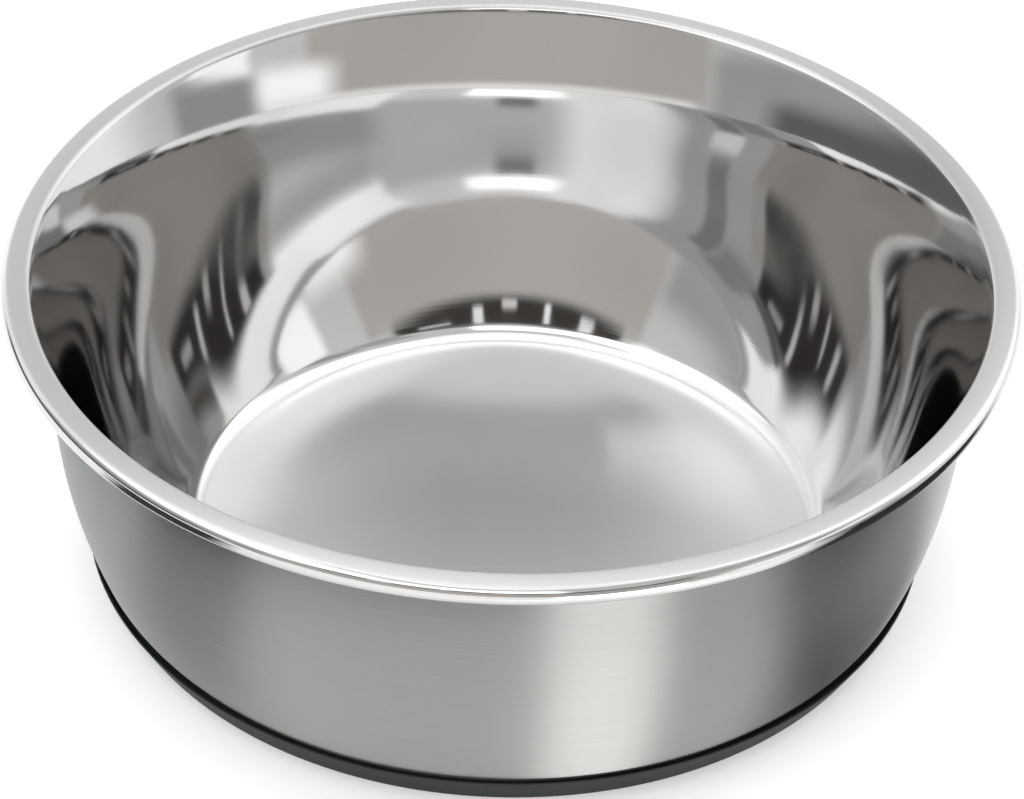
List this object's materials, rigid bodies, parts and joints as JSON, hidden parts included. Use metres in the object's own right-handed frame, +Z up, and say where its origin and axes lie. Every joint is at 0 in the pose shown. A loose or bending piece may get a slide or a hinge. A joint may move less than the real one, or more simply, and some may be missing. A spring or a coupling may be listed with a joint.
{
  "type": "pet bowl",
  "caption": "Round double-walled stainless steel pet bowl: polished leaning inside, brushed upright outside, rolled rim, and a bonded black rubber ring that keeps it from sliding.",
  "frame": {"origin": "on the bowl's axis, on the surface that the rubber ring stands on", "axes": "+Z up along the bowl's axis; the bowl is round, so X and Y are free"},
  "size_m": [0.21, 0.21, 0.0705],
  "materials": {
    "polished_steel": "mirror-polished stainless steel sheet, satin floor",
    "brushed_steel": "stainless steel sheet brushed round the axis",
    "adhesive": "cured flexible adhesive, hidden",
    "rubber": "matt moulded rubber"
  },
  "bodies": {
    "root": {"inner_bowl": "polished_steel", "outer_shell": "brushed_steel", "bond_film": "adhesive", "base_ring": "rubber"}
  },
  "joints": []
}
